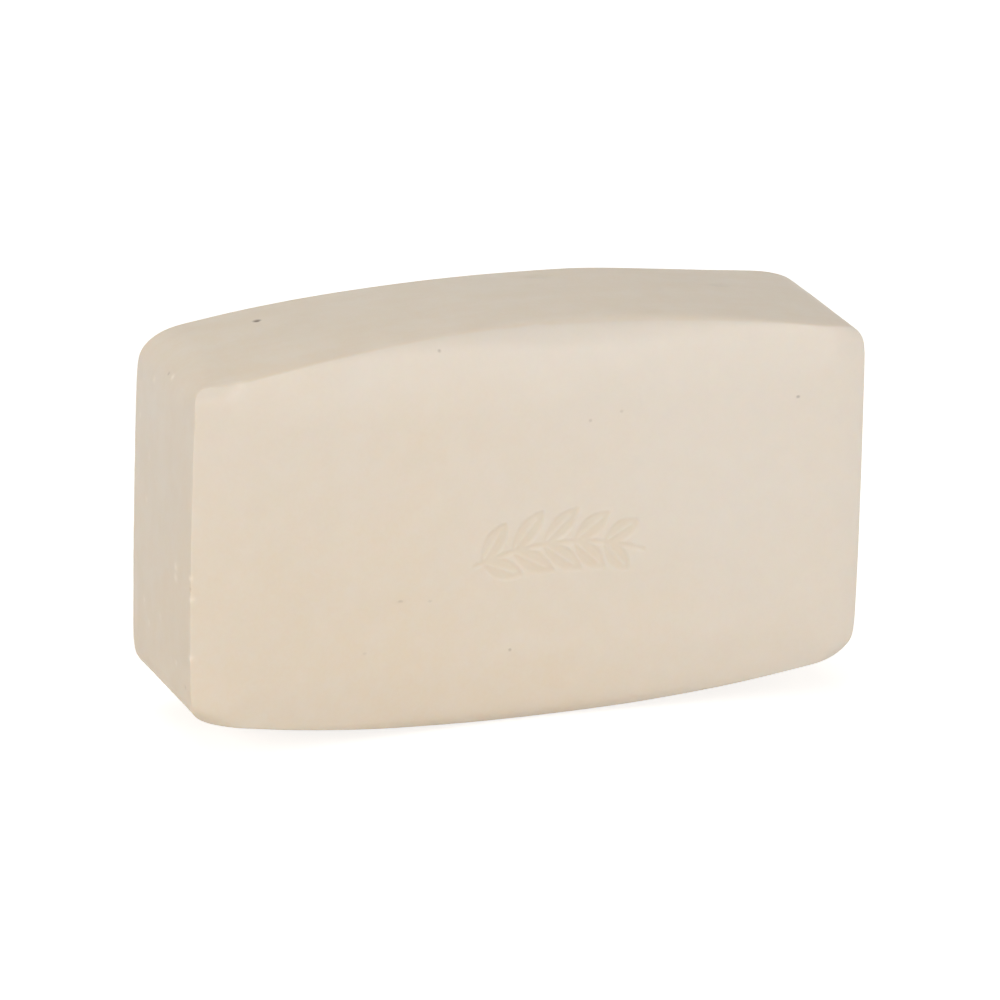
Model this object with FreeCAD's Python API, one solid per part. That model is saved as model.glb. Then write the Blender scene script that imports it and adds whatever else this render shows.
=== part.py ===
"""Bar of toilet soap, stamped as one piece, standing on its bowed long flank.

X runs along the bar, Y through its thickness (the broad front face looks towards -Y) and Z up.
The origin is under the middle of the bar, on the surface it stands on. All sizes are in millimetres.
"""
import FreeCAD, Part
import math
import os

# Overall size, measured at mid-thickness where the flank bellies out
LENGTH = 93.7
HEIGHT = 54.5
THICKNESS = 26.4

# Outline of the bar, seen square on to its broad face
LONG_SIDE_BOW = 4.6       # how far a long side drops from its middle to where it would meet an end
END_BOW = 0.25            # the same for the two short ends
CORNER_RUN_LONG = 5.3     # length of the corner curve along a long side
CORNER_RUN_END = 5.3      # length of the corner curve down an end
FACE_CORNER_FULLNESS = 2.45   # weight of the corner curve in the plane of a face: higher is squarer
BODY_CORNER_FULLNESS = 1.1   # the same at mid-thickness, where the die leaves the corner rounder
FLANK_BELLY = 0.45        # how far the flank stands out at mid-thickness, past the plane of a face

# Broad faces: a flat middle, then a shoulder that falls away towards each edge. A shoulder's width
# is measured in from the middle of its side, or from the corner where side and end would meet
LONG_SHOULDER_WIDTH = 10.05
LONG_SHOULDER_RADIUS = 28
EDGE_ROLL_WIDTH = 2.25    # outer strip in which the long shoulder tightens into a rolled edge
EDGE_ROLL_RADIUS = 3.9
END_SHOULDER_WIDTH = 8.15
END_SHOULDER_RADIUS = 15.7
CORNER_SHOULDER_WIDTH = 6.2
CORNER_SHOULDER_RADIUS = 5.9
CORNER_SHOULDER_ANGLE = 48.0   # direction of the corner's fall, in degrees up from the X axis
STEEPEST_FALL = 65.0      # tilt at which a shoulder stops curving and runs straight, in degrees

# Working allowance: how far a cutting shape runs past what it cuts
OVERRUN = 1.0

MIDDLE = FreeCAD.Vector(0, 0, 0)
FRONT_TO_BACK = FreeCAD.Vector(0, 1, 0)


def arc_edge(first, middle, last):
    """A circular arc through three points."""
    return Part.Arc(first, middle, last).toShape()


def corner_curve(first, meet, last, fullness):
    """A conic that leaves its first point and reaches its last along the lines through meet."""
    curve = Part.BezierCurve()
    curve.setPoles([first, meet, last])
    curve.setWeight(2, fullness)
    return curve.toShape()


def arc_radius(half_chord, rise):
    """Radius of the arc that rises this far over the middle of its chord."""
    return (half_chord ** 2 + rise ** 2) / (2 * rise)


def arc_drop(radius, distance):
    """How far an arc lies below its top at a distance from its middle."""
    return radius - math.sqrt(radius ** 2 - distance ** 2)


def quarter_points(half_length, half_height):
    """One quarter of the outline as (x, z) points: where the bowed side stops, where its tangent
    meets that of the bowed end, and where the end starts."""
    corner_height = half_height - LONG_SIDE_BOW
    side_radius = arc_radius(half_length, LONG_SIDE_BOW)
    end_radius = arc_radius(corner_height, END_BOW)
    side_x = half_length - END_BOW - CORNER_RUN_LONG
    side_drop = arc_drop(side_radius, side_x)
    side_z = half_height - side_drop
    end_z = corner_height - CORNER_RUN_END
    end_drop = arc_drop(end_radius, end_z)
    end_x = half_length - end_drop

    side_slope = -side_x / (side_radius - side_drop)
    end_slope = -end_z / (end_radius - end_drop)
    rise = side_z + side_slope * (end_x - side_x) - end_z
    meet_z = end_z + rise / (1 - side_slope * end_slope)
    meet_x = end_x + end_slope * (meet_z - end_z)
    return (side_x, side_z), (meet_x, meet_z), (end_x, end_z)


def outline_wire(y, inset, fullness):
    """The bowed rectangle with rounded corners at depth y, inside the overall size by inset."""
    half_length = LENGTH / 2 - inset
    half_height = HEIGHT / 2 - inset
    side, meet, end = quarter_points(half_length, half_height)
    side_middle = (0, half_height)
    end_middle = (half_length, 0)

    def at(point, sign_x, sign_z):
        return FreeCAD.Vector(sign_x * point[0], y, sign_z * point[1])

    edges = []
    for sign in (1, -1):
        edges.append(arc_edge(at(side, -sign, sign), at(side_middle, sign, sign),
                              at(side, sign, sign)))
        edges.append(corner_curve(at(side, sign, sign), at(meet, sign, sign),
                                  at(end, sign, sign), fullness))
        edges.append(arc_edge(at(end, sign, sign), at(end_middle, sign, sign),
                              at(end, sign, -sign)))
        edges.append(corner_curve(at(end, sign, -sign), at(meet, sign, -sign),
                                  at(side, sign, -sign), fullness))
    return Part.Wire(edges)


def flank_block():
    """The bar's flank: full at mid-thickness, a little narrower and squarer at the two faces."""
    depth = THICKNESS / 2 + OVERRUN
    inset = FLANK_BELLY * (depth / (THICKNESS / 2)) ** 2
    sections = [
        outline_wire(-depth, inset, FACE_CORNER_FULLNESS),
        outline_wire(0, 0, BODY_CORNER_FULLNESS),
        outline_wire(depth, inset, FACE_CORNER_FULLNESS),
    ]
    return Part.makeLoft(sections, True, False)


def shoulder_points(start, reach, arcs):
    """One quarter of a shoulder's section: its (x, y) corner points, and the middle of each arc.

    The surface is flat up to start and then turns down through the arcs, each a (run, radius) that
    is tangent to what comes before it. An arc stops at the end of its run or where the fall is at
    its steepest, and past the last one the surface runs straight on to the reach.
    """
    steepest = math.sin(math.radians(STEEPEST_FALL))
    x, y, tilt = start, THICKNESS / 2, 0.0
    corners = [(x, y)]
    middles = []
    for run, radius in arcs:
        run = min(run, radius * (steepest - math.sin(tilt)))
        end_tilt = math.asin(math.sin(tilt) + run / radius)
        half_tilt = (tilt + end_tilt) / 2
        middles.append((x + radius * (math.sin(half_tilt) - math.sin(tilt)),
                        y - radius * (math.cos(tilt) - math.cos(half_tilt))))
        x += run
        y -= radius * (math.cos(tilt) - math.cos(end_tilt))
        tilt = end_tilt
        corners.append((x, y))
    corners.append((reach, y - (reach - x) * math.tan(tilt)))
    return corners, middles


def shoulder_section(start, reach, arcs):
    """The whole section in the XY plane: four quarters, two flats and two end walls."""
    corners, middles = shoulder_points(start, reach, arcs)

    def at(point, sign_x, sign_y):
        return FreeCAD.Vector(sign_x * point[0], sign_y * point[1], 0)

    def line(first, last):
        return Part.LineSegment(first, last).toShape()

    edges = []
    for sign_x, sign_y in ((1, 1), (1, -1), (-1, -1), (-1, 1)):
        for first, middle, last in zip(corners, middles, corners[1:]):
            edges.append(arc_edge(at(first, sign_x, sign_y), at(middle, sign_x, sign_y),
                                  at(last, sign_x, sign_y)))
        edges.append(line(at(corners[-2], sign_x, sign_y), at(corners[-1], sign_x, sign_y)))
    for sign in (1, -1):
        edges.append(line(at(corners[0], -1, sign), at(corners[0], 1, sign)))
        edges.append(line(at(corners[-1], sign, -1), at(corners[-1], sign, 1)))
    return Part.Wire(Part.__sortEdges__(edges))


def shoulder_slab(angle, distance, width, arcs):
    """A slab with a shoulder of this width along two opposite edges, each edge at this distance
    from the middle of the bar. The fall points angle degrees up from X."""
    section = shoulder_section(distance - width, distance + OVERRUN, arcs)
    length = LENGTH + HEIGHT
    slab = Part.Face(section).extrude(FreeCAD.Vector(0, 0, length))
    slab.translate(FreeCAD.Vector(0, 0, -length / 2))
    slab.rotate(MIDDLE, FRONT_TO_BACK, -angle)
    return slab


def shoulder_slabs():
    """The slabs that shape both broad faces: along the sides, across the ends and at the corners."""
    along_sides = [(LONG_SHOULDER_WIDTH - EDGE_ROLL_WIDTH, LONG_SHOULDER_RADIUS),
                   (EDGE_ROLL_WIDTH, EDGE_ROLL_RADIUS)]
    across_ends = [(END_SHOULDER_WIDTH, END_SHOULDER_RADIUS)]
    at_corners = [(CORNER_SHOULDER_WIDTH, CORNER_SHOULDER_RADIUS)]

    fall = math.radians(CORNER_SHOULDER_ANGLE)
    corner_height = HEIGHT / 2 - LONG_SIDE_BOW
    corner_distance = LENGTH / 2 * math.cos(fall) + corner_height * math.sin(fall)
    slabs = [
        shoulder_slab(90, HEIGHT / 2, LONG_SHOULDER_WIDTH, along_sides),
        shoulder_slab(0, LENGTH / 2, END_SHOULDER_WIDTH, across_ends),
    ]
    for angle in (CORNER_SHOULDER_ANGLE, -CORNER_SHOULDER_ANGLE):
        slabs.append(shoulder_slab(angle, corner_distance, CORNER_SHOULDER_WIDTH, at_corners))
    return slabs


def soap_bar():
    """The flank block trimmed by the shoulder slabs, which leaves a crisp flash line all round."""
    bar = flank_block()
    for slab in shoulder_slabs():
        bar = bar.common(slab)
    bar = bar.removeSplitter().Solids[0]
    bar.translate(FreeCAD.Vector(0, 0, HEIGHT / 2))
    return bar


os.makedirs("parts", exist_ok=True)
bar = soap_bar()
bar.exportStep("parts/soap_bar.step")
print("soap_bar:", len(bar.Faces), "faces, valid", bar.isValid(),
      "volume", round(bar.Volume), "mm3", bar.optimalBoundingBox(False))
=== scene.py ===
"""The look of a stamped bar of cream toilet soap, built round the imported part.

The form is worked out in millimetres, in the part's own frame (X along the bar, Y from the front
face to the back face, Z up from the surface it stands on), and turned into metres with the mesh.
"""

import math

import bmesh
import bpy
import numpy as np
from mathutils import Matrix, Vector, geometry, noise


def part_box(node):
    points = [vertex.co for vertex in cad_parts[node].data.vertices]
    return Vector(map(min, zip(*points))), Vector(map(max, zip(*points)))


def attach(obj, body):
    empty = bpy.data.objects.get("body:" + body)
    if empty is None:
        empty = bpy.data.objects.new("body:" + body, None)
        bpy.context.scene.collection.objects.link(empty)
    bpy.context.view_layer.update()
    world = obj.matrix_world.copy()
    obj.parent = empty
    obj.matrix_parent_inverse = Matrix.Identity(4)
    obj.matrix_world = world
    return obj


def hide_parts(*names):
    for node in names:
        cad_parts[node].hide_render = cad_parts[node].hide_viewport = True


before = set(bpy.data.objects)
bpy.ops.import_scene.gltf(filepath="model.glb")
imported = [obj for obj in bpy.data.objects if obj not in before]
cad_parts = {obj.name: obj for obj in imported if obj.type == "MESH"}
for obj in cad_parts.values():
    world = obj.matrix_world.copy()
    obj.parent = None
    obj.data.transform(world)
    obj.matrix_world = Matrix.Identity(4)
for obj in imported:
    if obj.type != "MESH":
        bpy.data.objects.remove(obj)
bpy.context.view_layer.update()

MM = 0.001   # a millimetre in the frame's metres
NODE = "soap_bar"

# Form of the bar. It follows the part's source but for its worn edges and the break at the start
# of the long shoulder, and its overall size is read from the frame
LONG_SIDE_BOW = 4.6
END_BOW = 0.25
CORNER_RUN_LONG = 5.3
CORNER_RUN_END = 5.3
FLANK_BELLY = 0.45
SECTION_OVERRUN = 1.0     # how far past a face the outline that shapes the flank there is drawn
LONG_SHOULDER_WIDTH = 10.05
LONG_SHOULDER_BREAK = math.radians(2.9)   # tilt at which the long shoulder leaves the flat middle
LONG_SHOULDER_RADIUS = 50.0
EDGE_ROLL_WIDTH = 2.9
EDGE_ROLL_RADIUS = 4.7
WORN_ROLL_WIDTH = 4.2     # the same strip where the edge is worn, at the middle and right of the bar
WORN_ROLL_RADIUS = 6.3
WORN_TOP = (15.0, 33.0, 1.0)      # middle and half length along X of the worn stretch, and how worn
WORN_BOTTOM = (15.0, 38.0, 0.25)
END_SHOULDER_WIDTH = 8.15
END_SHOULDER_RADIUS = 15.7
CORNER_SHOULDER_WIDTH = 6.2
CORNER_SHOULDER_RADIUS = 5.9
CORNER_SHOULDER_ANGLE = math.radians(48.0)
STEEPEST_FALL = math.radians(65.0)
SHOULDER_BLEND = 7.0      # power that blends two shoulders where they meet: lower is rounder

# Squareness of each corner, keyed by the signs of its X and Z: the four aren't quite alike
CORNERS = ((1, 1), (1, -1), (-1, -1), (-1, 1))
FRONT_FULLNESS = dict(zip(CORNERS, (2.9, 2.45, 4.2, 12.0)))
BODY_FULLNESS = dict.fromkeys(CORNERS, 1.1)
BACK_FULLNESS = dict.fromkeys(CORNERS, 2.45)

# Mesh: spacing of its points, and how far in from the flash line each closer ring of points lies
SPACING = 0.48
STAMP_SPACING = 0.24
RINGS = (0.12, 0.28, 0.5, 0.78, 1.1, 1.5, 1.95)
FLANK_RINGS = (0.12, 0.28, 0.5)
RING_CORE = 7.5           # inset of the rectangle towards which the rings shrink
RING_GAP = 0.7            # least gap between the last ring and the lattice, as a share of the spacing
RIDGE_STEPS = 12          # rounds in which the depth of the flash line settles
TRIANGLES_INSIDE = 1      # kind of triangulation: only what lies inside the border
MERGE_DISTANCE = 1e-5
RIDGE_ROUNDING = 0.3      # reach of the rounding of the flash line
RIDGE_EASE = 0.026        # strength of one pass of the rounding
RIDGE_PASSES = 60
SOFT_RIDGE = (13.0, 26.0)   # middle and half length, along X, of the worn part of the top front ridge
SOFT_ROUNDING = 2.2       # reach and strength of the rounding there
SOFT_EASE = 0.5
SOFT_LEAST = 0.14         # share of that rounding along the rest of the top front ridge
SOFT_END = 4.0            # how far from the ends it fades out
BACK_FLAT = (29.0, 17.0)    # middle and half length, along X, of the flattened top of the back edge
BACK_FLAT_DEPTH = 0.55

# Unevenness of the surface: height in millimetres and grain size of each layer
WAVES = ((0.07, 21.0), (0.028, 8.0), (0.007, 2.6), (0.0035, 1.1))
SCUFF_HEIGHT = 0.022      # extra roughness of the left end, where the bar was cut
SCUFF_GRAIN = 1.7
SCUFF_FADE = 3.0          # how far from the end's plane the extra roughness dies away
SCUFF_FACING = 0.3        # how squarely a point has to face left to be rough
LIP_HEIGHT = 0.07         # flash left standing along the left end's front ridge
LIP_REACH = 0.2
LIP_ZONE = 6.0            # how far from the end's plane the lip sets in, and over what length
LIP_FADE = 3.0
LIP_GRAIN = 2.2
LIP_UNEVENNESS = 0.4
LIP_SEED = 11
NOISE_SHIFT = (17.3, 5.1, 9.7)   # offset between the noise of one seed and the next

# Small flaws as pixels of the photograph's 1000 x 1000 frame: column, row, then radius, stretch
# along X, depth and darkness. A negative depth stands up, and a negative darkness is a pale chip,
# but the pale spot on the top front ridge is a painted highlight
FLAWS = (
    (257, 320, 0.48, 1.1, 0.16, 0.85),
    (170, 373, 0.24, 1.0, 0.12, 0.22),
    (441, 351, 0.20, 1.0, 0.08, 0.32),
    (590, 422, 0.20, 1.2, 0.06, 0.20),
    (623, 410, 0.17, 1.6, 0.05, 0.16),
    (799, 398, 0.19, 1.4, 0.08, 0.40),
    (400, 602, 0.17, 2.4, 0.06, 0.20),
    (430, 602, 0.15, 2.0, 0.05, 0.14),
    (364, 654, 0.20, 1.5, 0.05, 0.10),
    (510, 649, 0.20, 1.0, 0.09, 0.30),
    (705, 690, 0.18, 2.0, 0.05, 0.12),
    (540, 276, 1.10, 1.8, 0.16, 0.05),
    (720, 285, 0.90, 1.8, 0.14, 0.05),
    (285, 408, 0.55, 2.0, -0.05, 0.0),
    # Painted highlight: a pale spot on a small bump of the top front ridge, where light glints along
    # it
    (240, 383, 0.60, 1.3, -0.06, -0.30),
    (172, 378, 0.40, 1.0, 0.04, -0.80),
    (155, 379, 0.45, 1.0, 0.04, -0.35),
    (141, 414, 0.40, 1.0, 0.04, -0.35),
    (150, 455, 0.55, 1.0, 0.06, -0.20),
    (146, 500, 0.50, 1.0, 0.05, -0.25),
    (175, 568, 0.55, 1.0, -0.07, -0.60),
    (176, 577, 0.55, 1.0, -0.08, -0.65),
    (190, 580, 0.40, 1.0, -0.12, -0.70),
    (190, 589, 0.24, 1.0, 0.10, 0.12),
    (191, 600, 0.45, 1.0, -0.12, -0.55),
    (144, 600, 0.45, 1.0, 0.05, -0.35),
    (149, 622, 0.45, 1.0, 0.05, -0.35),
    (160, 617, 0.40, 1.0, 0.04, -0.25),
    (190, 658, 0.45, 1.0, -0.09, -0.60),
    (176, 662, 0.40, 1.0, 0.05, -0.35),
    (184, 688, 0.30, 1.0, 0.08, 0.15),
)
FLAW_REACH = 2.6          # how many radii round a flaw the mesh is refined
FLAW_CUTS = 2
FLAW_FACING = 0.05        # how squarely a point has to face the camera to carry a flaw
DENT_TIGHTNESS = 1.5      # how fast a dent's depth dies away from its middle
DARK_EDGE = 4             # power that shapes the edge of a dark spot, and of a pale one
PALE_EDGE = 2

# Camera, fitted to the photograph's outline of the bar
CAMERA_AZIMUTH = math.radians(-21.655)
CAMERA_ELEVATION = math.radians(19.093)
CAMERA_ROLL = math.radians(1.504)
CAMERA_DISTANCE = 1241.5
CAMERA_FOCUS = 9525.2     # focal length in pixels
CAMERA_CENTRE = (499.317, 495.886)   # pixel that the middle of the bar falls on
IMAGE_SIZE = 1000
SENSOR = 36.0
CAMERA_CLIP = (0.1, 20.0)            # in metres

# Ornament pressed into the front face: a plain sprig of leaves
STAMP_MIDDLE = np.array((3.4, -2.4))
STAMP_HALF = np.array((14.5, 9.0))
STAMP_DEPTH = 0.14
STAMP_EDGE = 0.34         # width over which the ornament's edge slopes
STEM_RADIUS = 34.0
STEM_WIDTH = 0.26         # half the stem's width
STEM_REACH = 12.0         # how far the stem runs to each side of its middle
LEAF_LENGTH = 7.0
LEAF_WIDTH = 1.35         # half the width of a leaf
LEAF_FULLNESS = 0.8       # power that shapes a leaf: lower is blunter
LEAF_ANGLE = math.radians(40)
LEAF_STEP = 4.3
LEAF_PAIRS = 5
LEAF_SHRINK = 0.09        # how much shorter each pair is than the one nearer the longest
LONGEST_PAIR = -0.5       # place of the longest leaves, in steps from the middle
LEAF_SETBACK = LEAF_LENGTH / 3   # how far back along the stem a leaf is rooted
VEIN_WIDTH = 0.16         # half the width of the raised vein along a leaf
VEIN_LENGTH = 0.8         # share of the leaf that the vein runs along
VEIN_RISE = 0.7           # share of the leaf's depth that the vein stands up
FRONT_FACING = 0.5        # how squarely a point has to face the front to be pressed

# Colours of the soap, from 0 to 255
CREAM_COOL = (229, 219, 206)
# Warm cream, for the real warm blotches and for the painted warm light and painted warm shade
CREAM_WARM_TONE_AND_LIGHT = (232, 213, 185)
CREAM_PALE = (233, 223, 210)
PAINTED_LIGHT_SPOT = (-0.022, -0.0132, 0.014)   # painted warm light, as from a warmer lamp on the left: the cream is painted warmest here, in metres
PAINTED_LIGHT_REACH = (0.008, 0.05)      # distances over which the spot's painted warm light dies away
PAINTED_LIGHT_SHARE = 0.36
PAINTED_WARMTH_FALL = (-2.0, 0.0, -5.5)   # and it is painted warmer to the left, as warm light, and down, as warm shade, this fast for each metre
PAINTED_FLANK_SHADE_WARMTH = 0.42               # painted shade: how much warmer the top and bottom of the flank are painted, for their warmer shade
# Pale chips, and the painted highlight on the top front ridge
CHIP_AND_GLINT_COLOUR = (250, 238, 222)
STREAK_COLOUR = (224, 204, 178)
STREAK_STRETCH = (0.2, 1.0, 0.35)      # the flank's drag marks run along the bar and up its ends
FLAW_COLOUR = (92, 74, 58)
# Painted shade in the pressed ornament: its hollows are painted darker and warmer, by this colour and
# share
STAMP_SHADE_COLOUR = (222, 203, 172)
STAMP_SHADE_SHARE = 0.22

# Noise in the soap: grain in millimetres, detail, roughness, range of the noise, and what it gives
BLOTCH = (22.0, 2.0, 0.55, (0.3, 0.7), (0.14, 0.37))
MOTTLE = (3.4, 3.0, 0.55, (0.4, 0.7), (0, 0.35))
SPECKLE = (0.55, 2.0, 0.55, (0.35, 0.75), (0, 0.22))
STREAKS = (2.2, 2.0, 0.5, (0.4, 0.7), (0, 0.13))
ROUGHNESS = (5.0, 4.0, 0.55, (0.3, 0.7), (0.42, 0.56))
PORES = (0.6, 4.0, 0.55)
PORE_HEIGHT = 0.06
PORE_STRENGTH = 0.25
SUBSURFACE_SHARE = 0.35
SUBSURFACE_RADII = (1.0, 0.65, 0.42)
SUBSURFACE_SCALE = 1.6
REFRACTION = 1.45
SPECULAR = 0.35

# Studio: the floor and the sky show white, and a few broad lamps light the bar
FLOOR_SIZE = 6.0          # in metres
FLOOR_COLOUR = (207, 203, 197)
FLOOR_GLOW = 0.74         # what the floor adds where it is seen, which brings it up to white
SKY_LIGHT = 0.2           # strength of the sky as a light
# Lamps: name, azimuth and elevation in degrees, distance and size in millimetres, watts, colour
LAMPS = (
    ("front", 5, 8, 900, 500, 5.05, (1.0, 1.0, 1.0)),
    ("left", -85, 15, 900, 700, 4.3, (1.0, 1.0, 1.0)),
    ("right", 60, 15, 900, 700, 1.93, (1.0, 1.0, 1.0)),
    ("back", 180, 50, 900, 700, 2.75, (1.0, 0.965, 0.88)),
)

low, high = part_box(NODE)
LENGTH, THICKNESS, HEIGHT = ((high - low) / MM)[:]
MIDDLE = np.array((low + high) / 2) / MM


def direction(azimuth, elevation):
    """Unit vector away from the bar, with the azimuth counted from the front to the right end."""
    return Vector((math.sin(azimuth) * math.cos(elevation),
                   -math.cos(azimuth) * math.cos(elevation), math.sin(elevation)))


def view_axes():
    """Unit vectors to the right, up and back of the camera, in the part's frame."""
    back = direction(CAMERA_AZIMUTH, CAMERA_ELEVATION)
    level = Vector((math.cos(CAMERA_AZIMUTH), math.sin(CAMERA_AZIMUTH), 0))
    upright = back.cross(level)
    right = math.cos(CAMERA_ROLL) * level + math.sin(CAMERA_ROLL) * upright
    up = -math.sin(CAMERA_ROLL) * level + math.cos(CAMERA_ROLL) * upright
    return right, up, back


def camera_place():
    """Where the camera stands, in millimetres."""
    right, up, back = view_axes()
    scale = CAMERA_DISTANCE / CAMERA_FOCUS
    across = (CAMERA_CENTRE[0] - IMAGE_SIZE / 2) * scale
    above = (IMAGE_SIZE / 2 - CAMERA_CENTRE[1]) * scale
    return Vector(MIDDLE) + CAMERA_DISTANCE * back - across * right - above * up


def pixels(points):
    """Columns and rows of these points in the photograph's frame."""
    axes = np.array([list(axis) for axis in view_axes()])
    local = (points - np.array(camera_place())) @ axes.T
    scale = CAMERA_FOCUS / -local[:, 2]
    half = IMAGE_SIZE / 2
    return np.stack([half + local[:, 0] * scale, half - local[:, 1] * scale], axis=1)


def arc_radius(half_chord, rise):
    """Radius of the arc that rises this far over the middle of its chord."""
    return (half_chord ** 2 + rise ** 2) / (2 * rise)


def arc_drop(radius, distance):
    """How far an arc lies below its top at a distance from its middle."""
    return radius - math.sqrt(radius ** 2 - distance ** 2)


def quarter_points(half_length, half_height):
    """End of the bowed side, meeting of the tangents and start of the bowed end, as (x, z)."""
    corner_height = half_height - LONG_SIDE_BOW
    side_radius = arc_radius(half_length, LONG_SIDE_BOW)
    end_radius = arc_radius(corner_height, END_BOW)
    side_x = half_length - END_BOW - CORNER_RUN_LONG
    side_drop = arc_drop(side_radius, side_x)
    side_z = half_height - side_drop
    end_z = corner_height - CORNER_RUN_END
    end_drop = arc_drop(end_radius, end_z)
    end_x = half_length - end_drop

    side_slope = -side_x / (side_radius - side_drop)
    end_slope = -end_z / (end_radius - end_drop)
    rise = side_z + side_slope * (end_x - side_x) - end_z
    meet_z = end_z + rise / (1 - side_slope * end_slope)
    meet_x = end_x + end_slope * (meet_z - end_z)
    return np.array([(side_x, side_z), (meet_x, meet_z), (end_x, end_z)])


def arc_points(first, bulge, last, count):
    """Points along the arc from first towards last that stands out from its chord by bulge."""
    chord = last - first
    half_chord = np.linalg.norm(chord) / 2
    along = chord / (2 * half_chord)
    outward = np.array([-along[1], along[0]])
    radius = arc_radius(half_chord, bulge)
    angles = np.linspace(-1, 1, count, endpoint=False) * math.asin(half_chord / radius)
    middle = (first + last) / 2 + outward * (bulge - radius)
    return middle + radius * (np.outer(np.sin(angles), along) + np.outer(np.cos(angles), outward))


def conic_points(first, meet, last, fullness, count):
    """Points along the conic corner, evenly spread in its own parameter."""
    t = np.linspace(0, 1, count, endpoint=False)[:, None]
    weights = (1 - t) ** 2, 2 * fullness * t * (1 - t), t ** 2
    return (weights[0] * first + weights[1] * meet + weights[2] * last) / sum(weights)


def outline(inset, fullness):
    """The bowed rectangle with rounded corners as (x, z) points about the middle of the bar."""
    half_length = LENGTH / 2 - inset
    half_height = HEIGHT / 2 - inset
    side, meet, end = quarter_points(half_length, half_height)
    side_count = round((LENGTH - 2 * CORNER_RUN_LONG) / SPACING)
    end_count = round((HEIGHT - 2 * LONG_SIDE_BOW - 2 * CORNER_RUN_END) / SPACING)
    corner_count = round((CORNER_RUN_LONG + CORNER_RUN_END) / SPACING)
    side_bulge = half_height - side[1]
    end_bulge = half_length - end[0]
    points = []
    for sign in (1, -1):
        flip = np.array((sign, sign))
        across = np.array((sign, -sign))
        points.append(arc_points(-across * side, side_bulge, flip * side, side_count))
        points.append(conic_points(flip * side, flip * meet, flip * end,
                                   fullness[sign, sign], corner_count))
        points.append(arc_points(flip * end, end_bulge, across * end, end_count))
        points.append(conic_points(across * end, across * meet, across * side,
                                   fullness[sign, -sign], corner_count))
    return np.concatenate(points)


def fall(distance, edge, width, arcs, tilt=0.0):
    """How far a face has dropped at a distance from the middle, over a shoulder of this width."""
    drop = np.zeros_like(distance)
    start, sine = edge - width, math.sin(tilt)
    for run, radius in arcs:
        run = min(run, radius * (math.sin(STEEPEST_FALL) - sine))
        turned = sine + np.clip(distance - start, 0, run) / radius
        drop += radius * (math.sqrt(1 - sine ** 2) - np.sqrt(1 - turned ** 2))
        start += run
        sine += run / radius
    return drop + np.maximum(distance - start, 0) * sine / math.sqrt(1 - sine ** 2)


def bump(values, middle, reach):
    """A smooth bump of height 1 at the middle, and 0 from the reach outwards."""
    share = np.clip(np.abs(values - middle) / reach, 0, 1)
    return (1 - share ** 2) ** 2


def edge_wear(points, stretch):
    """How worn the edge is at these points, along a (middle, reach, amount) stretch."""
    middle, reach, amount = stretch
    return amount * bump(points[:, 0], middle, reach)


def half_thickness(points, side):
    """Distance from the mid-plane to the front face (side -1) or the back face (side 1) at these
    (x, z) points."""
    x, z = np.abs(points).T
    cos, sin = math.cos(CORNER_SHOULDER_ANGLE), math.sin(CORNER_SHOULDER_ANGLE)
    corner = LENGTH / 2 * cos + (HEIGHT / 2 - LONG_SIDE_BOW) * sin

    def long_fall(roll_width, roll_radius):
        return fall(z, HEIGHT / 2, LONG_SHOULDER_WIDTH,
                    [(LONG_SHOULDER_WIDTH - roll_width, LONG_SHOULDER_RADIUS),
                     (roll_width, roll_radius)], LONG_SHOULDER_BREAK)

    worn = np.where(points[:, 1] > 0, edge_wear(points, WORN_TOP), edge_wear(points, WORN_BOTTOM))
    worn = worn * (side < 0)
    falls = (
        (1 - worn) * long_fall(EDGE_ROLL_WIDTH, EDGE_ROLL_RADIUS)
        + worn * long_fall(WORN_ROLL_WIDTH, WORN_ROLL_RADIUS),
        fall(x, LENGTH / 2, END_SHOULDER_WIDTH, [(END_SHOULDER_WIDTH, END_SHOULDER_RADIUS)]),
        fall(x * cos + z * sin, corner, CORNER_SHOULDER_WIDTH,
             [(CORNER_SHOULDER_WIDTH, CORNER_SHOULDER_RADIUS)]),
    )
    blended = sum(drop ** SHOULDER_BLEND for drop in falls) ** (1 / SHOULDER_BLEND)
    return THICKNESS / 2 - blended


class Flank:
    """The side wall: three outlines, and between them a wall that curves through all three."""

    def __init__(self):
        self.depth = THICKNESS / 2 + SECTION_OVERRUN
        inset = FLANK_BELLY * (self.depth / (THICKNESS / 2)) ** 2
        self.front = outline(inset, FRONT_FULLNESS)
        self.body = outline(0, BODY_FULLNESS)
        self.back = outline(inset, BACK_FULLNESS)
        flattened = bump(self.back[:, 0], *BACK_FLAT) * (self.back[:, 1] > 0)
        self.back[:, 1] -= BACK_FLAT_DEPTH * flattened

    def at(self, depth):
        """The (x, z) points of the wall at these depths, one depth for each point."""
        share = (depth / self.depth)[:, None]
        curve = (self.front + self.back) / 2 - self.body
        lean = (self.back - self.front) / 2
        return self.body + lean * share + curve * share ** 2

    def ridge(self, side):
        """Where the wall meets the front face (side -1) or the back face (side 1), as depths."""
        depth = np.full(len(self.body), side * THICKNESS / 2)
        for _ in range(RIDGE_STEPS):
            depth = side * half_thickness(self.at(depth), side)
        return depth


def flank_shares():
    """Rows of the flank as shares of the way to the flash lines, closer together near them."""
    half = THICKNESS / 2
    inner = half - FLANK_RINGS[-1]
    even = np.linspace(0, inner, round(inner / SPACING) + 1)
    upper = np.concatenate([even, [half - ring for ring in FLANK_RINGS[-2::-1]], [half]]) / half
    return np.concatenate([-upper[:0:-1], upper])


def towards_core(border, inset):
    """The border's points moved in by inset, towards a rectangle inside the face."""
    core = np.array((LENGTH / 2 - RING_CORE, HEIGHT / 2 - LONG_SIDE_BOW - RING_CORE))
    inward = np.clip(border, -core, core) - border
    return border + inset * inward / np.linalg.norm(inward, axis=1)[:, None]


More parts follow.
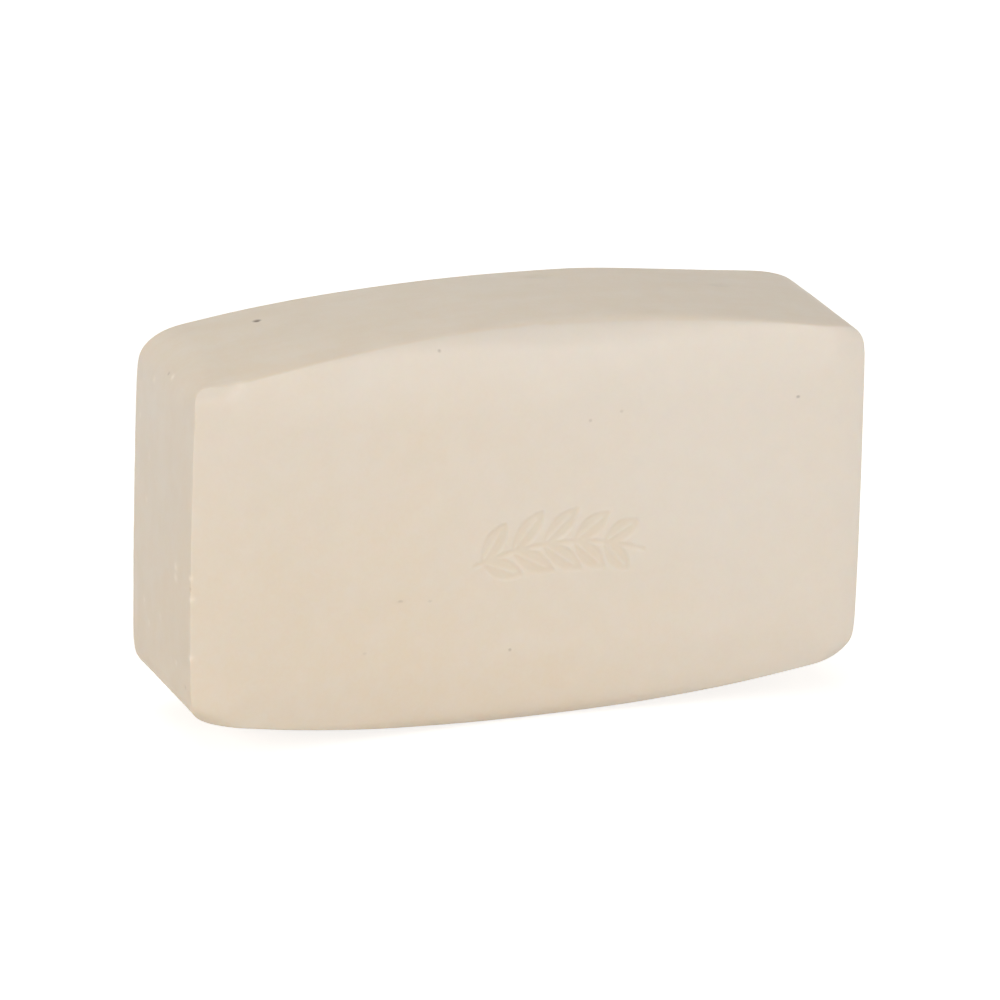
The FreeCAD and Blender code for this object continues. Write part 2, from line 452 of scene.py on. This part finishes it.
def lattice(low_corner, high_corner, spacing):
    """Points of a triangular lattice over a rectangle."""
    columns = np.arange(low_corner[0], high_corner[0], spacing)
    rows = np.arange(low_corner[1], high_corner[1], spacing * math.sqrt(3) / 2)
    x, z = np.meshgrid(columns, rows)
    x = x + np.where(np.arange(len(rows)) % 2, spacing / 2, 0)[:, None]
    return np.stack([x.ravel(), z.ravel()], axis=1)


def border_distance(points, border):
    """Distance from each point to the nearest point of the border."""
    nearest = [np.hypot(*(border - point).T).min() for point in points]
    return np.array(nearest)


def inside_border(points, border):
    """Whether each point lies inside, tested against the border's upper right quarter."""
    quarter = border[(border[:, 1] > 0) & (border[:, 0] >= 0)]
    quarter = quarter[np.argsort(quarter[:, 0])]
    x, z = np.abs(points).T
    return z < np.interp(x, *quarter.T)


def face_points(border, stamped):
    """The (x, z) points of a broad face inside its border, and their distance from the border."""
    half = np.array((LENGTH, HEIGHT)) / 2
    grid = lattice(-half, half, SPACING)
    if stamped:
        inside = (np.abs(grid - STAMP_MIDDLE) < STAMP_HALF).all(axis=1)
        fine = lattice(STAMP_MIDDLE - STAMP_HALF, STAMP_MIDDLE + STAMP_HALF, STAMP_SPACING)
        grid = np.concatenate([grid[~inside], fine])
    grid = grid[inside_border(grid, border)]
    distance = border_distance(grid, border)
    keep = distance > RINGS[-1] + SPACING * RING_GAP
    points, distances = [grid[keep]], [distance[keep]]
    for ring in RINGS:
        points.append(towards_core(border, ring))
        distances.append(np.full(len(border), ring))
    return np.concatenate(points), np.concatenate(distances)


def face_triangles(border, inner):
    """Triangles over the border and the points inside it, as indices into both together."""
    points = [Vector(p) for p in border.tolist() + inner.tolist()]
    loop = list(range(len(border)))
    result = geometry.delaunay_2d_cdt(points, [], [loop], TRIANGLES_INSIDE, MERGE_DISTANCE)
    source = [ids[0] for ids in result[3]]
    return [tuple(source[v] for v in triangle) for triangle in result[2]]


def sloped(cut, width=STAMP_EDGE):
    """A step from 0 to 1 with a smooth slope of this width, centred where the cut is 0."""
    share = np.clip(cut / width + 0.5, 0, 1)
    return share * share * (3 - 2 * share)


def leaf(points, root, angle, length):
    """Share of a leaf's depth at each point: a pointed oval with a raised vein."""
    along = (points - root) @ np.array((math.cos(angle), math.sin(angle)))
    across = np.abs((points - root) @ np.array((-math.sin(angle), math.cos(angle))))
    half_width = LEAF_WIDTH * np.sin(math.pi * np.clip(along / length, 0, 1)) ** LEAF_FULLNESS
    beyond = np.maximum(np.abs(along - length / 2) - length / 2, 0)
    inside = sloped(np.where(beyond > 0, -np.hypot(across, beyond), half_width - across))
    vein = sloped(np.minimum(VEIN_WIDTH - across, length * VEIN_LENGTH - along), VEIN_WIDTH * 2)
    return inside * (1 - VEIN_RISE * vein)


def stamp(points):
    """Share of the ornament's depth at these (x, z) points, from 0 to 1."""
    centre = STAMP_MIDDLE + np.array((0, -STEM_RADIUS))
    offset = points - centre
    bearing = np.arctan2(offset[:, 0], offset[:, 1])
    reach = np.maximum(np.abs(bearing * STEM_RADIUS) - STEM_REACH, 0)
    share = sloped(STEM_WIDTH - np.hypot(np.hypot(*offset.T) - STEM_RADIUS, reach))
    for pair in range(LEAF_PAIRS):
        place = pair - (LEAF_PAIRS - 1) / 2
        bearing = (place * LEAF_STEP - LEAF_SETBACK) / STEM_RADIUS
        root = centre + STEM_RADIUS * np.array((math.sin(bearing), math.cos(bearing)))
        length = LEAF_LENGTH * (1 - LEAF_SHRINK * abs(place - LONGEST_PAIR))
        for side in (1, -1):
            share = np.maximum(share, leaf(points, root, side * LEAF_ANGLE - bearing, length))
    return share


def bar_mesh():
    """The bar's clean form in the part's frame: points, their distance to the ridge, their share of
    the flank (half of it for those on the ridge itself), and faces."""
    flank = Flank()
    front, back = flank.ridge(-1), flank.ridge(1)
    shares = flank_shares()
    columns = len(front)
    vertices, ridge_distance, flank_share, faces = [], [], [], []
    for share in shares:
        depth = share * np.where(share < 0, -front, back)
        wall = flank.at(depth)
        vertices.append(np.stack([wall[:, 0], depth, wall[:, 1]], axis=1))
        ridge_distance.append(np.full(columns, (1 - abs(share)) * THICKNESS / 2))
        flank_share.append(np.full(columns, 0.5 if abs(share) == 1 else 1.0))
    for row in range(len(shares) - 1):
        for column in range(columns):
            after = (column + 1) % columns
            first, second = row * columns, (row + 1) * columns
            faces.append((first + column, first + after, second + after, second + column))

    count = len(shares) * columns
    for side, ridge, ring_start in ((-1, front, 0), (1, back, count - columns)):
        border = flank.at(ridge)
        inner, distance = face_points(border, stamped=side < 0)
        depth = side * half_thickness(inner, side)
        vertices.append(np.stack([inner[:, 0], depth, inner[:, 1]], axis=1))
        ridge_distance.append(distance)
        flank_share.append(np.zeros(len(inner)))
        for triangle in face_triangles(border, inner):
            faces.append(tuple(ring_start + v if v < columns else count + v - columns
                               for v in triangle))
        count += len(inner)

    points = np.concatenate(vertices) + np.array((0, 0, HEIGHT / 2))
    return points, np.concatenate(ridge_distance), np.concatenate(flank_share), faces


def round_ridge(points, distance, mesh):
    """Eases the flash line's crease by averaging the points next to it, most where it is worn."""
    edges = np.empty(len(mesh.edges) * 2, np.int32)
    mesh.edges.foreach_get("vertices", edges)
    first, second = edges.reshape(-1, 2).T
    along = SOFT_LEAST + (1 - SOFT_LEAST) * bump(points[:, 0], *SOFT_RIDGE)
    away_from_ends = np.clip((LENGTH / 2 - SOFT_END - np.abs(points[:, 0])) / SOFT_END, 0, 1)
    worn = along * away_from_ends * (points[:, 1] < 0) * (points[:, 2] > HEIGHT / 2)
    reach = RIDGE_ROUNDING + (SOFT_ROUNDING - RIDGE_ROUNDING) * worn
    strength = RIDGE_EASE + (SOFT_EASE - RIDGE_EASE) * worn
    weight = (strength * np.exp(-(distance / reach) ** 2))[:, None]
    neighbours = np.bincount(edges, minlength=len(points))[:, None]
    for _ in range(RIDGE_PASSES):
        total = np.zeros_like(points)
        np.add.at(total, first, points[second])
        np.add.at(total, second, points[first])
        points = points + weight * (total / neighbours - points)
    return points


def noise_at(points, grain, seed):
    """Smooth noise from -1 to 1 whose features are about this many millimetres across."""
    shift = Vector([seed * part for part in NOISE_SHIFT])
    return np.array([noise.noise(Vector(p) / grain + shift) for p in points.tolist()])


def vertex_data(mesh, name):
    """A vector that belongs to each vertex, as an array."""
    values = np.empty(len(mesh.vertices) * 3, np.float32)
    mesh.vertices.foreach_get(name, values)
    return values.reshape(-1, 3).astype(float)


def flaw_centre(points, normals, column, row):
    """The visible point of the surface that falls on this pixel."""
    facing = normals @ np.array(view_axes()[2]) > FLAW_FACING
    miss = np.hypot(*(pixels(points) - np.array((column, row))).T)
    return points[np.argmin(np.where(facing, miss, np.inf))]


def refine_round(mesh, centres):
    """Splits the faces near each flaw, so that it has enough points to be a real dent."""
    points = vertex_data(mesh, "co")
    near = np.zeros(len(points), bool)
    for centre, radius in centres:
        near |= np.linalg.norm(points - centre, axis=1) < FLAW_REACH * radius
    work = bmesh.new()
    work.from_mesh(mesh)
    work.verts.ensure_lookup_table()
    edges = {edge for vertex in np.flatnonzero(near) for edge in work.verts[vertex].link_edges}
    bmesh.ops.subdivide_edges(work, edges=sorted(edges, key=lambda edge: edge.index),
                              cuts=FLAW_CUTS, use_grid_fill=True)
    bmesh.ops.triangulate(work, faces=[face for face in work.faces if len(face.verts) > 4])
    work.to_mesh(mesh)
    work.free()


def relief(points, normals, centres):
    """Height of the surface over the clean form, and how dark and how pale its flaws are."""
    height = np.zeros(len(points))
    for seed, (amount, grain) in enumerate(WAVES):
        height += amount * noise_at(points, grain, seed)

    end_distance = points[:, 0] + LENGTH / 2
    scuffed = np.exp(-(end_distance / SCUFF_FADE) ** 2) * (normals[:, 0] < -SCUFF_FACING)
    height += SCUFF_HEIGHT * scuffed * noise_at(points, SCUFF_GRAIN, len(WAVES))

    dark, pale = np.zeros(len(points)), np.zeros(len(points))
    for (centre, radius), (_, _, _, stretch, depth, darkness) in zip(centres, FLAWS):
        distance = np.linalg.norm((points - centre) / (stretch, 1, 1), axis=1) / radius
        height -= depth * np.exp(-distance ** 2 * DENT_TIGHTNESS)
        dark = np.maximum(dark, darkness * np.exp(-distance ** DARK_EDGE))
        pale = np.maximum(pale, -darkness * np.exp(-distance ** PALE_EDGE))
    return height, dark, pale


def seat_in_box(points):
    """The points fitted exactly to the box of the node that they stand for."""
    box_low, box_high = np.array(low) / MM, np.array(high) / MM
    share = (points - points.min(axis=0)) / np.ptp(points, axis=0)
    return box_low + share * (box_high - box_low)


def point_attribute(mesh, name, values):
    """Stores a number for each vertex."""
    attribute = mesh.attributes.new(name, "FLOAT", "POINT")
    attribute.data.foreach_set("value", values.astype(np.float32))


def attribute_values(mesh, name):
    """The stored number of each vertex."""
    values = np.empty(len(mesh.vertices), np.float32)
    mesh.attributes[name].data.foreach_get("value", values)
    return values.astype(float)


def build_bar():
    """The dressed bar as one object."""
    points, distance, flank_share, faces = bar_mesh()
    mesh = bpy.data.meshes.new("soap")
    mesh.from_pydata(points.tolist(), [], faces)
    points = round_ridge(points, distance, mesh)
    mesh.vertices.foreach_set("co", points.ravel())
    work = bmesh.new()
    work.from_mesh(mesh)
    bmesh.ops.recalc_face_normals(work, faces=work.faces)
    work.to_mesh(mesh)
    work.free()

    point_attribute(mesh, "ridge_distance", distance)
    point_attribute(mesh, "flank", flank_share)
    normals = vertex_data(mesh, "normal")
    centres = [(flaw_centre(points, normals, column, row), radius)
               for column, row, radius, *_ in FLAWS]
    refine_round(mesh, centres)

    points, normals = vertex_data(mesh, "co"), vertex_data(mesh, "normal")
    height, dark, pale = relief(points, normals, centres)
    distance = attribute_values(mesh, "ridge_distance")
    flank = attribute_values(mesh, "flank")
    left_end = np.clip(-points[:, 0] - LENGTH / 2 + LIP_ZONE, 0, LIP_FADE) / LIP_FADE
    lip = np.exp(-(distance / LIP_REACH) ** 2) * left_end * (points[:, 1] < 0)
    uneven = LIP_UNEVENNESS * noise_at(points, LIP_GRAIN, LIP_SEED)
    height += LIP_HEIGHT * lip * (1 - LIP_UNEVENNESS + uneven)

    middle = points - np.array((0, 0, HEIGHT / 2))
    pressed = stamp(middle[:, ::2]) * (normals[:, 1] < -FRONT_FACING)
    height -= STAMP_DEPTH * pressed
    points = seat_in_box(points + normals * height[:, None])
    mesh.vertices.foreach_set("co", (points * MM).ravel())
    point_attribute(mesh, "flaw", dark)
    point_attribute(mesh, "chip_and_glint", pale)
    # Painted shade: the flank's top and bottom are painted warmer by how squarely they face up or
    # down
    point_attribute(mesh, "painted_flank_shade", flank * np.abs(normals[:, 2]))
    point_attribute(mesh, "stamp", pressed)
    mesh.attributes.remove(mesh.attributes["ridge_distance"])
    for polygon in mesh.polygons:
        polygon.use_smooth = True
    mesh.update()
    bar = bpy.data.objects.new("soap", mesh)
    bpy.context.scene.collection.objects.link(bar)
    return bar


def empty_tree(owner):
    """The node tree of a material or world, with nothing in it."""
    owner.use_nodes = True
    owner.node_tree.nodes.clear()
    return owner.node_tree


def add_node(tree, kind, inputs=(), **settings):
    """A shader node with its settings made and its inputs set or linked, by name or by number."""
    node = tree.nodes.new(kind)
    for name, value in settings.items():
        setattr(node, name, value)
    for name, value in dict(inputs).items():
        if isinstance(value, bpy.types.NodeSocket):
            tree.links.new(value, node.inputs[name])
        else:
            node.inputs[name].default_value = value
    return node


def maths(tree, operation, *values, clamp=False):
    """The result of a sum on numbers or sockets."""
    node = add_node(tree, "ShaderNodeMath", enumerate(values), operation=operation, use_clamp=clamp)
    return node.outputs[0]


def vector_maths(tree, operation, result, *values):
    """The named result of a sum on vectors."""
    node = add_node(tree, "ShaderNodeVectorMath", enumerate(values), operation=operation)
    return node.outputs[result]


def stored(tree, name):
    """What the mesh stores under this name."""
    return add_node(tree, "ShaderNodeAttribute", attribute_name=name).outputs["Fac"]


def spread(tree, value, source, target):
    """The value mapped from one range to another."""
    inputs = {"Value": value, "From Min": source[0], "From Max": source[1],
              "To Min": target[0], "To Max": target[1]}
    return add_node(tree, "ShaderNodeMapRange", inputs).outputs["Result"]


def noise_node(tree, place, grain, detail, roughness):
    """Noise with features of about this many millimetres."""
    inputs = {"Vector": place, "Scale": 1 / (grain * MM), "Detail": detail, "Roughness": roughness}
    return add_node(tree, "ShaderNodeTexNoise", inputs).outputs["Fac"]


def noise_layer(tree, place, layer):
    """One of the layers of noise listed at the top, mapped to what it gives."""
    grain, detail, roughness, source, target = layer
    return spread(tree, noise_node(tree, place, grain, detail, roughness), source, target)


def mixed(tree, share, first, second):
    """Two colours mixed by a share. A colour mix has its colours at inputs 6 and 7, result at 2."""
    node = add_node(tree, "ShaderNodeMix", {0: share, 6: first, 7: second}, data_type="RGBA")
    return node.outputs[2]


def srgb(colour):
    """A colour written as 0 to 255 values, as the linear one that the shader wants."""
    def linear(value):
        value /= 255
        return value / 12.92 if value <= 0.04045 else ((value + 0.055) / 1.055) ** 2.4
    red, green, blue = colour
    return linear(red), linear(green), linear(blue), 1.0


def soap_colour(tree, place):
    """Cream with painted warm light towards a spot and to the left, painted warm shade downwards and
    on the flank, its blotches, mottling and marks, painted shade in the ornament and a painted
    highlight on the top front ridge.
    """
    # Painted warm light towards the spot and to the left, and painted warm shade downwards and on the
    # top and bottom of the flank, on top of the real warm blotches
    spot = spread(tree, vector_maths(tree, "DISTANCE", "Value", place, PAINTED_LIGHT_SPOT),
                  PAINTED_LIGHT_REACH, (PAINTED_LIGHT_SHARE, 0))
    lower = vector_maths(tree, "DOT_PRODUCT", "Value", place, PAINTED_WARMTH_FALL)
    lower = maths(tree, "ADD", lower, noise_layer(tree, place, BLOTCH))
    lower = maths(tree, "MULTIPLY_ADD", stored(tree, "painted_flank_shade"), PAINTED_FLANK_SHADE_WARMTH, lower)
    warm = maths(tree, "ADD", spot, lower, clamp=True)
    drawn = vector_maths(tree, "MULTIPLY", "Vector", place, STREAK_STRETCH)
    streaks = maths(tree, "MULTIPLY", noise_layer(tree, drawn, STREAKS), stored(tree, "flank"))
    # Painted shade in the hollows of the pressed ornament
    pressed = spread(tree, stored(tree, "stamp"), (0, 1), (0, STAMP_SHADE_SHARE))

    colour = mixed(tree, warm, srgb(CREAM_COOL), srgb(CREAM_WARM_TONE_AND_LIGHT))
    for share, layer in (
        (noise_layer(tree, place, MOTTLE), CREAM_PALE),
        (noise_layer(tree, place, SPECKLE), CREAM_PALE),
        (streaks, STREAK_COLOUR),
        # pale chips, and the painted highlight on the top front ridge
        (stored(tree, "chip_and_glint"), CHIP_AND_GLINT_COLOUR),
        (pressed, STAMP_SHADE_COLOUR),
        (stored(tree, "flaw"), FLAW_COLOUR),
    ):
        colour = mixed(tree, share, colour, srgb(layer))
    return colour


def soap_material():
    """Milled soap: warm cream, faintly mottled, with a soft waxy sheen and a little depth."""
    material = bpy.data.materials.new("soap")
    tree = empty_tree(material)
    place = add_node(tree, "ShaderNodeTexCoord").outputs["Object"]
    pores = add_node(tree, "ShaderNodeBump", {
        "Height": noise_node(tree, place, *PORES), "Strength": PORE_STRENGTH,
        "Distance": PORE_HEIGHT * MM})
    surface = add_node(tree, "ShaderNodeBsdfPrincipled", {
        "Base Color": soap_colour(tree, place), "Roughness": noise_layer(tree, place, ROUGHNESS),
        "Normal": pores.outputs["Normal"], "Subsurface Weight": SUBSURFACE_SHARE,
        "Subsurface Radius": SUBSURFACE_RADII, "Subsurface Scale": SUBSURFACE_SCALE * MM,
        "IOR": REFRACTION, "Specular IOR Level": SPECULAR})
    add_node(tree, "ShaderNodeOutputMaterial", {"Surface": surface.outputs["BSDF"]})
    return material


def seen_directly(tree):
    """1 where the camera, a mirror or glass looks, and 0 for the light that falls on things."""
    rays = add_node(tree, "ShaderNodeLightPath").outputs
    indirect = maths(tree, "MAXIMUM", rays["Is Glossy Ray"], rays["Is Transmission Ray"])
    return maths(tree, "MAXIMUM", rays["Is Camera Ray"], indirect)


def build_floor():
    """A pale floor that shows white and keeps the bar's shadow."""
    mesh = bpy.data.meshes.new("floor")
    half = FLOOR_SIZE / 2
    mesh.from_pydata([(-half, -half, 0), (half, -half, 0), (half, half, 0), (-half, half, 0)],
                     [], [(0, 1, 2, 3)])
    floor = bpy.data.objects.new("floor", mesh)
    bpy.context.scene.collection.objects.link(floor)
    material = bpy.data.materials.new("floor")
    tree = empty_tree(material)
    matt = add_node(tree, "ShaderNodeBsdfDiffuse", {"Color": srgb(FLOOR_COLOUR)})
    glow = maths(tree, "MULTIPLY", seen_directly(tree), FLOOR_GLOW)
    light = add_node(tree, "ShaderNodeEmission", {"Strength": glow})
    total = add_node(tree, "ShaderNodeAddShader", {0: matt.outputs[0], 1: light.outputs[0]})
    add_node(tree, "ShaderNodeOutputMaterial", {"Surface": total.outputs[0]})
    mesh.materials.append(material)


def build_sky():
    """White where it is seen, and softer where it lights the bar."""
    world = bpy.data.worlds.new("sky")
    tree = empty_tree(world)
    strength = spread(tree, seen_directly(tree), (0, 1), (SKY_LIGHT, 1.0))
    light = add_node(tree, "ShaderNodeBackground",
                     {"Color": (1, 1, 1, 1), "Strength": strength})
    add_node(tree, "ShaderNodeOutputWorld", {"Surface": light.outputs[0]})
    bpy.context.scene.world = world


def build_lamps():
    """Square area lamps, each at an azimuth and elevation round the bar and facing it."""
    centre = Vector(MIDDLE)
    for name, azimuth, elevation, distance, size, watts, colour in LAMPS:
        back = direction(math.radians(azimuth), math.radians(elevation))
        light = bpy.data.lights.new(name, "AREA")
        light.size = size * MM
        light.energy = watts
        light.color = colour
        lamp = bpy.data.objects.new(name, light)
        lamp.location = (centre + back * distance) * MM
        lamp.rotation_euler = back.to_track_quat("Z", "Y").to_euler()
        bpy.context.scene.collection.objects.link(lamp)


def build_camera():
    """The fitted camera, looking level with the photograph's own frame."""
    data = bpy.data.cameras.new("camera")
    data.sensor_width = SENSOR
    data.lens = CAMERA_FOCUS / IMAGE_SIZE * SENSOR
    data.clip_start, data.clip_end = CAMERA_CLIP
    camera = bpy.data.objects.new("camera", data)
    right, up, back = view_axes()
    turn = Matrix((right, up, back)).transposed()
    camera.matrix_world = Matrix.Translation(camera_place() * MM) @ turn.to_4x4()
    bpy.context.scene.collection.objects.link(camera)
    bpy.context.scene.camera = camera


bar = build_bar()
bar.data.materials.append(soap_material())
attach(bar, "root")
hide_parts(NODE)

build_floor()
build_sky()
build_lamps()
build_camera()
bpy.context.scene.view_settings.view_transform = "Standard"
